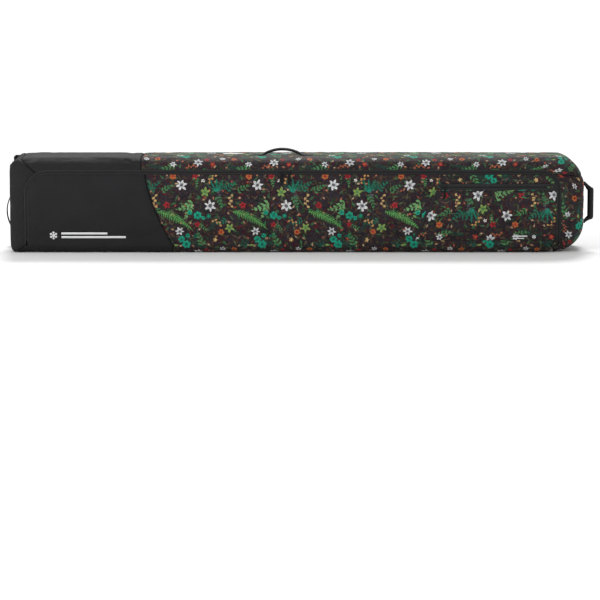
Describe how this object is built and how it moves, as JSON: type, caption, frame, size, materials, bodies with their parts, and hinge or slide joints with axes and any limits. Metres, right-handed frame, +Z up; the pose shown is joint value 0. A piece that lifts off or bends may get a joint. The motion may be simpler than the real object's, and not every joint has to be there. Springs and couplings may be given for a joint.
{
  "type": "snowboard bag",
  "caption": "Long padded bag for snowboards with a zipped lid, a zipped pocket, tow, side and end handles, skid rails and a wheel housing at each corner of one end.",
  "frame": {"origin": "on the surface the bag stands on, under the middle of its overall box", "axes": "+X from the wheel end to the nose, -Y out of the lid, +Y out of the back with its wheels and rails, +Z up as the bag stands on its long side"},
  "size_m": [1.803, 0.244, 0.31],
  "materials": {
    "cloth_black": "heavy coated canvas",
    "cloth_print": "floral printed canvas",
    "lining_cloth": "thin coated lining",
    "foam": "closed-cell padding",
    "board": "stiff sheet",
    "zip_tape": "woven tape",
    "zip_coil": "moulded coil",
    "slider_metal": "black lacquer",
    "pull_rubber": "moulded",
    "webbing": "woven webbing",
    "housing_plastic": "moulded, fine grain",
    "rail_plastic": "extruded, scuffed",
    "steel": "plated",
    "tyre_rubber": "polyurethane tread",
    "hub_plastic": "moulded",
    "grip_rubber": "moulded over webbing",
    "buckle_plastic": "moulded"
  },
  "bodies": {
    "root": {"back_panel": "cloth_black", "base_panel": "cloth_black", "top_gusset_print": "cloth_print", "top_gusset_black": "cloth_black", "nose_gusset": "cloth_print", "nose_rim_panel": "cloth_print", "bottom_gusset_print": "cloth_print", "bottom_gusset_black": "cloth_black", "wheel_end_gusset": "cloth_black", "back_foam": "foam", "top_foam": "foam", "bottom_foam": "foam", "nose_foam": "foam", "wheel_end_foam": "foam", "body_lining": "lining_cloth", "base_board": "board", "body_zip_tape": "zip_tape", "body_zip_coil": "zip_coil", "rail_upper": "rail_plastic", "rail_lower": "rail_plastic", "rail_screws": "steel", "wheel_housing_upper": "housing_plastic", "wheel_housing_lower": "housing_plastic", "housing_screws": "steel", "backing_washers": "steel", "axle_upper": "steel", "axle_lower": "steel", "tow_anchors": "webbing", "handle_anchors": "webbing", "strap_webbing": "webbing", "buckle_sockets": "buckle_plastic"},
    "lid": {"lid_panel_print": "cloth_print", "lid_panel_black": "cloth_black", "lid_foam": "foam", "lid_lining": "lining_cloth", "lid_zip_tape": "zip_tape", "lid_zip_coil": "zip_coil", "pocket_panel": "cloth_print", "pocket_zip_tape": "zip_tape", "pocket_zip_coil": "zip_coil"},
    "main_slider_left": {"main_slider_left": "slider_metal"},
    "main_slider_right": {"main_slider_right": "slider_metal"},
    "main_pull_left": {"main_pull_left": "pull_rubber"},
    "main_pull_right": {"main_pull_right": "pull_rubber"},
    "pocket_slider": {"pocket_slider": "slider_metal"},
    "pocket_pull": {"pocket_pull": "pull_rubber"},
    "wheel_upper": {"tyre_upper": "tyre_rubber", "hub_upper": "hub_plastic", "bearings_upper": "steel"},
    "wheel_lower": {"tyre_lower": "tyre_rubber", "hub_lower": "hub_plastic", "bearings_lower": "steel"},
    "tow_handle": {"tow_handle": "grip_rubber"},
    "side_handle": {"side_handle": "webbing"},
    "grab_handle": {"grab_handle": "webbing"},
    "buckle_plug_left": {"buckle_plug_left": "buckle_plastic"},
    "buckle_plug_right": {"buckle_plug_right": "buckle_plastic"}
  },
  "joints": [
    {"name": "lid_hinge", "type": "hinge", "parent": "root", "child": "lid", "pos_m": [-0.0075, -0.114, 0.0341], "axis": [1, 0, 0], "range_deg": [0, 95]},
    {"name": "main_slider_left_run", "type": "slide", "parent": "lid", "child": "main_slider_left", "axis": [-1, 0, 0], "range_m": [0, 0.7]},
    {"name": "main_slider_right_run", "type": "slide", "parent": "lid", "child": "main_slider_right", "axis": [1, 0, 0], "range_m": [0, 0.755]},
    {"name": "main_pull_left_swing", "type": "hinge", "parent": "main_slider_left", "child": "main_pull_left", "pos_m": [-0.0595, -0.1195, 0.247], "axis": [-1, 0, 0], "range_deg": [0, 150]},
    {"name": "main_pull_right_swing", "type": "hinge", "parent": "main_slider_right", "child": "main_pull_right", "pos_m": [-0.0355, -0.1195, 0.247], "axis": [-1, 0, 0], "range_deg": [0, 150]},
    {"name": "pocket_slider_run", "type": "slide", "parent": "lid", "child": "pocket_slider", "axis": [1, 0, 0], "range_m": [0, 0.3]},
    {"name": "pocket_pull_swing", "type": "hinge", "parent": "pocket_slider", "child": "pocket_pull", "pos_m": [0.4375, -0.1205, 0.201], "axis": [-1, 0, 0], "range_deg": [0, 150]},
    {"name": "wheel_upper_spin", "type": "hinge", "parent": "root", "child": "wheel_upper", "pos_m": [-0.8635, 0.084, 0.2385], "axis": [0, 0, 1], "continuous": true},
    {"name": "wheel_lower_spin", "type": "hinge", "parent": "root", "child": "wheel_lower", "pos_m": [-0.8635, 0.084, 0.0485], "axis": [0, 0, 1], "continuous": true},
    {"name": "tow_handle_swing", "type": "hinge", "parent": "root", "child": "tow_handle", "pos_m": [0.8745, -0.003, 0.143], "axis": [0, 0, 1], "range_deg": [-75, 75]},
    {"name": "side_handle_flex", "type": "hinge", "parent": "root", "child": "side_handle", "pos_m": [-0.0555, -0.003, 0.2902], "axis": [1, 0, 0], "range_deg": [-20, 20], "stiffness_Nm_per_rad": 0.05},
    {"name": "grab_handle_flex", "type": "hinge", "parent": "root", "child": "grab_handle", "pos_m": [-0.8853, -0.003, 0.117], "axis": [0, 0, 1], "range_deg": [-14, 14], "stiffness_Nm_per_rad": 0.05},
    {"name": "buckle_left_release", "type": "slide", "parent": "root", "child": "buckle_plug_left", "axis": [0, 0, 1], "range_m": [0, 0.03]},
    {"name": "buckle_right_release", "type": "slide", "parent": "root", "child": "buckle_plug_right", "axis": [0, 0, 1], "range_m": [0, 0.03]}
  ]
}
